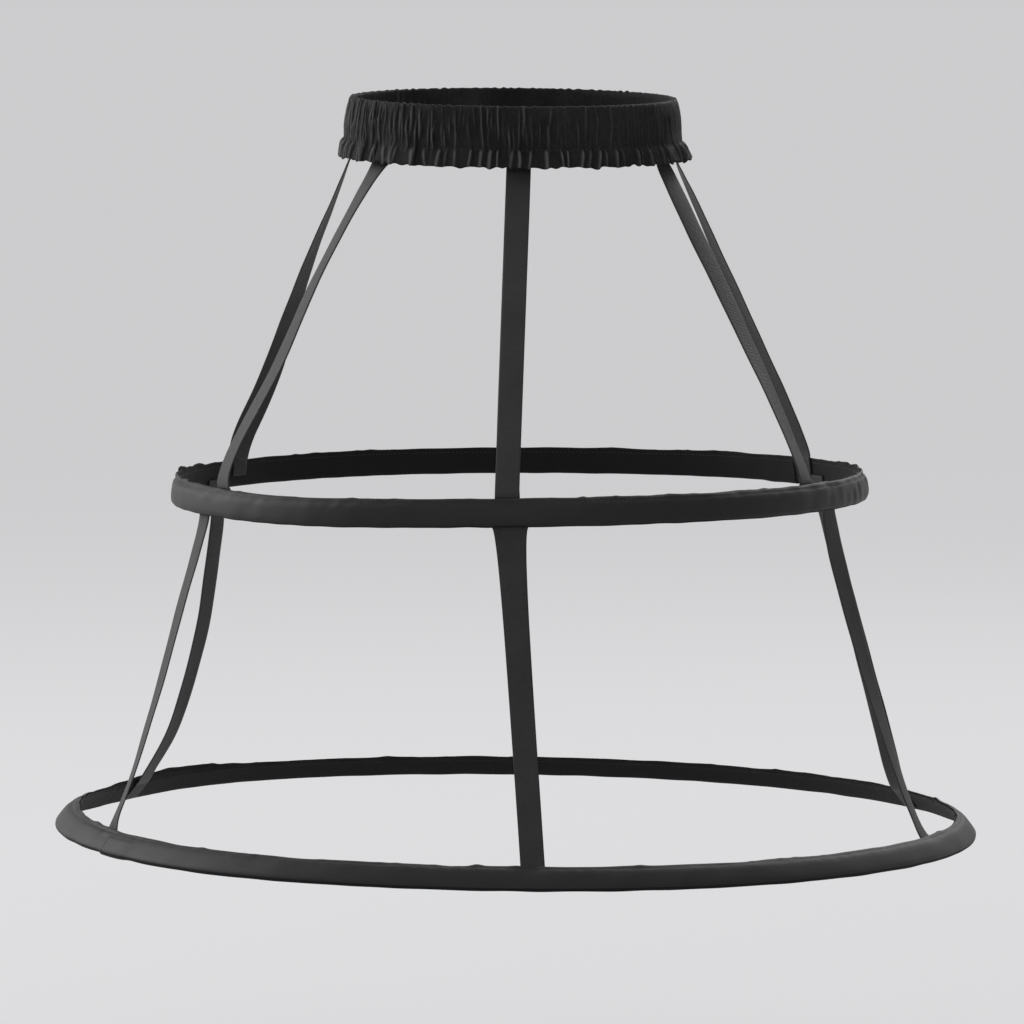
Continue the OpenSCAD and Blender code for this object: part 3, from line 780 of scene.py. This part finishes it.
# thread: one stitch is modelled and copied along every seam, each copy laid on its own bit of cloth
stitchSet = {"long": 2.3, "thick": 0.5, "sinkFrom": 0.3, "sink": 0.55, "proud": 0.1, "probe": 0.4, "fine": 8,
             "bandPitch": 3.1, "casingPitch": 3.3, "seamFrom": 3.0, "seamShort": 34.0,
             "innerRow": 9.3, "outerRow": 9.6, "lapPitch": 2.6, "lapIn": 3.0, "lapRows": (17.0, 3.0),
             "tackRows": (0.3, 0.72), "tackCount": 6, "tackSpan": 0.38}


def makeStitches(name, slot, lines):
    spots, along, out = (np.concatenate([line[k] for line in lines]) for k in range(3))
    bpy.ops.object.select_all(action="DESELECT")
    bpy.ops.mesh.primitive_uv_sphere_add(segments=6, ring_count=4, radius=1)
    piece = bpy.context.object
    piece.name = piece.data.name = name
    bpy.ops.object.mode_set(mode="EDIT")
    bpy.ops.mesh.select_all(action="SELECT")
    bpy.ops.transform.resize(value=(stitchSet["thick"]/2, stitchSet["thick"]/2, stitchSet["long"]/2))
    bpy.ops.mesh.select_all(action="DESELECT")
    bpy.ops.object.mode_set(mode="OBJECT")
    for point in piece.data.vertices:   # the stitch's two ends go down into the cloth
        point.select = abs(point.co.z) > stitchSet["sinkFrom"]*stitchSet["long"]
    bpy.ops.object.mode_set(mode="EDIT")
    bpy.ops.transform.translate(value=(0, -stitchSet["sink"]*stitchSet["thick"], 0))
    bpy.ops.object.mode_set(mode="OBJECT")
    row = piece.modifiers.new("row", "ARRAY")
    row.use_relative_offset, row.count = False, len(spots)
    bpy.ops.object.modifier_apply(modifier=row.name)
    mesh = piece.data
    local = np.empty(len(mesh.vertices)*3)
    mesh.vertices.foreach_get("co", local)
    local = local.reshape(len(spots), -1, 3)
    out = unit(out - along*np.sum(out*along, -1, keepdims=True))
    across = np.cross(along, out)
    laid = (spots[:, None] + local[..., :1]*across[:, None] + local[..., 1:2]*out[:, None]
            + local[..., 2:]*along[:, None])
    mesh.vertices.foreach_set("co", (laid*mm).ravel())
    mesh.update()
    inEdit(piece, lambda: bpy.ops.mesh.normals_make_consistent(inside=False))
    finishPiece(piece, "thread", slot)


# places on a surface, the way along it and the way out of it, for a surface given by two running values
def seamLine(surface, a, b, side=1):
    step = stitchSet["probe"]
    along = unit(surface(a + step, b) - surface(a - step, b))
    over = unit(surface(a, b + step) - surface(a, b - step))
    out = side*unit(np.cross(along, over))
    return surface(a, b) + stitchSet["proud"]*out, along, out


# the row of a section at one height, on its outer or its inner side
def rowAt(line, height, outside, divide):
    wrongSide = line[:, 0] < divide if outside else line[:, 0] > divide
    return np.argmin(np.where(wrongSide, np.inf, np.abs(line[:, 1] - height)))


def bandSeam():
    line, ahead, _ = sectionLine(bandSet["section"], bandSet["rows"]*stitchSet["fine"])
    sewn = rowAt(line, bandSet["stitch"], True, 0)
    girth = math.pi*(waist["width"] + waist["depth"])/2
    count = int(girth/stitchSet["bandPitch"])

    def surface(a, b):
        row = np.clip(np.rint(sewn + stitchSet["fine"]*b), 0, len(line) - 1).astype(int)
        return bandSurface(a*2*math.pi/girth, line[row], ahead[row])[0]

    a = np.arange(count)*girth/count
    return seamLine(surface, a, np.zeros(count), -1)


def casingSeams(tier, hoop):
    line, ahead, gone = sectionLine(casingSet["section"], casingSet["rows"]*stitchSet["fine"])
    long = casingLength(hoop)

    def surface(a, b):
        row = np.clip(np.searchsorted(gone, b), 0, len(line) - 1)
        at = lapStart[tier] + a/hoop["radius"]
        return casingSurface(tier, hoop, at, line[row], ahead[row], lapGrowth(a, long))[0]

    a = np.arange(stitchSet["seamFrom"], long - stitchSet["seamShort"], stitchSet["casingPitch"])
    outer = gone[rowAt(line, stitchSet["outerRow"], True, casingSet["frontFrom"])]
    inner = gone[rowAt(line, stitchSet["innerRow"], False, casingSet["frontFrom"])]
    low, high = stitchSet["lapRows"]
    b = np.arange(outer - low, outer - high, stitchSet["lapPitch"])
    spots, along, out = seamLine(surface, 0*b + stitchSet["lapIn"], b)
    return [seamLine(surface, a, 0*a + outer), seamLine(surface, a, 0*a + inner),
            (spots, unit(np.cross(out, along)), out)]


def tackLines():
    tacks = []
    for (tier, name), (place, wholeLong, headLong, tailLong) in tapeRuns.items():
        rows = [wholeLong - share*tailLong for share in stitchSet["tackRows"]]
        if tier == "lower":
            rows += [share*headLong for share in stitchSet["tackRows"]]

        def surface(a, b):
            return place(b/wholeLong, 0.5 + a/tapeSet["wide"])[0]

        a = np.linspace(-stitchSet["tackSpan"], stitchSet["tackSpan"], stitchSet["tackCount"])*tapeSet["wide"]
        for b in rows:
            spots, along, out = seamLine(surface, a, 0*a + b)
            inward = -np.sign(np.sum(out*spots*np.array([1, 1, 0]), -1, keepdims=True))
            tacks.append((spots + inward*out*tapeSet["thick"]/2, along, inward*out))
    return tacks


makeStitches("waistbandStitches", "waistband_cloth", [bandSeam()])
makeStitches("upperHoopStitches", "casing_cloth", casingSeams("upper", upperHoop))
makeStitches("lowerHoopStitches", "casing_cloth", casingSeams("lower", lowerHoop))
makeStitches("tapeTacks", "tape", tackLines())
print("stitching made")

# floor and background: seen directly they are one pale tone, and the floor still takes the light and shadow
floorSet = {"height": -0.74, "size": 3000.0, "shade": (0.72, 0.72, 0.73), "plain": 0.74,
            "tone": (0.725, 0.725, 0.735)}


def seenDirectly(start):
    ways = start.node("ShaderNodeLightPath").socket.node.outputs
    names = "Is Camera Ray", "Is Glossy Ray", "Is Transmission Ray"
    seen, mirrored, through = (Wire(start.tree, ways[name]) for name in names)
    return larger(larger(seen, mirrored), through)


def showMixed(start, share, lit, plain, output):
    shown = start.node("ShaderNodeMixShader", None, {0: share, 1: Wire(start.tree, lit.outputs[0]), 2: plain})
    start.tree.links.new(shown.socket, start.tree.nodes[output].inputs["Surface"])


bpy.ops.object.select_all(action="DESELECT")
bpy.ops.mesh.primitive_plane_add(size=floorSet["size"], location=(0, 0, floorSet["height"]))
floor = bpy.context.object
floor.name = "floor"
paint, start, shader = newMaterial("paleFloor", {"Roughness": 0.9, "Specular IOR Level": 0.1,
                                                 "Base Color": (*floorSet["shade"], 1)})
plainTone = start.node("ShaderNodeEmission", None, {"Color": (*floorSet["tone"], 1), "Strength": 1.0})
showMixed(start, seenDirectly(start)*floorSet["plain"], shader, plainTone, "Material Output")
floor.data.materials.append(paint)

# lamps: place, size and power; all look at one point inside the cage
lampAim = (0.0, 0.0, -0.3)
lampSet = {"leftKey": ((-3.1, 1.2, 1.0), 2.4, 78.0), "rightBack": ((1.5, 2.7, 2.1), 2.0, 48.0),
           "front": ((-0.9, -4.4, 1.7), 2.6, 40.0), "above": ((0.3, 0.2, 3.4), 3.0, 22.0)}
for name, (place, size, power) in lampSet.items():
    bpy.ops.object.light_add(type="AREA", location=place)
    lamp = bpy.context.object
    lamp.name = name + "Lamp"
    lamp.data.size, lamp.data.energy = size, power
    aim = np.array(lampAim) - np.array(place)
    lamp.rotation_euler = (math.atan2(math.hypot(aim[0], aim[1]), -aim[2]), 0,
                           math.atan2(aim[1], aim[0]) - math.pi/2)

worldSet = {"light": (0.36, 0.36, 0.37), "seen": (0.605, 0.605, 0.615)}
world = bpy.data.worlds.new("paleRoom")
scene.world = world
world.use_nodes = True
start = Wire(world.node_tree)
sky = world.node_tree.nodes["Background"]
sky.inputs["Color"].default_value = (*worldSet["light"], 1)
back = start.node("ShaderNodeBackground", None, {"Color": (*worldSet["seen"], 1)})
showMixed(start, seenDirectly(start), sky, back, "World Output")
print("floor and lamps set")
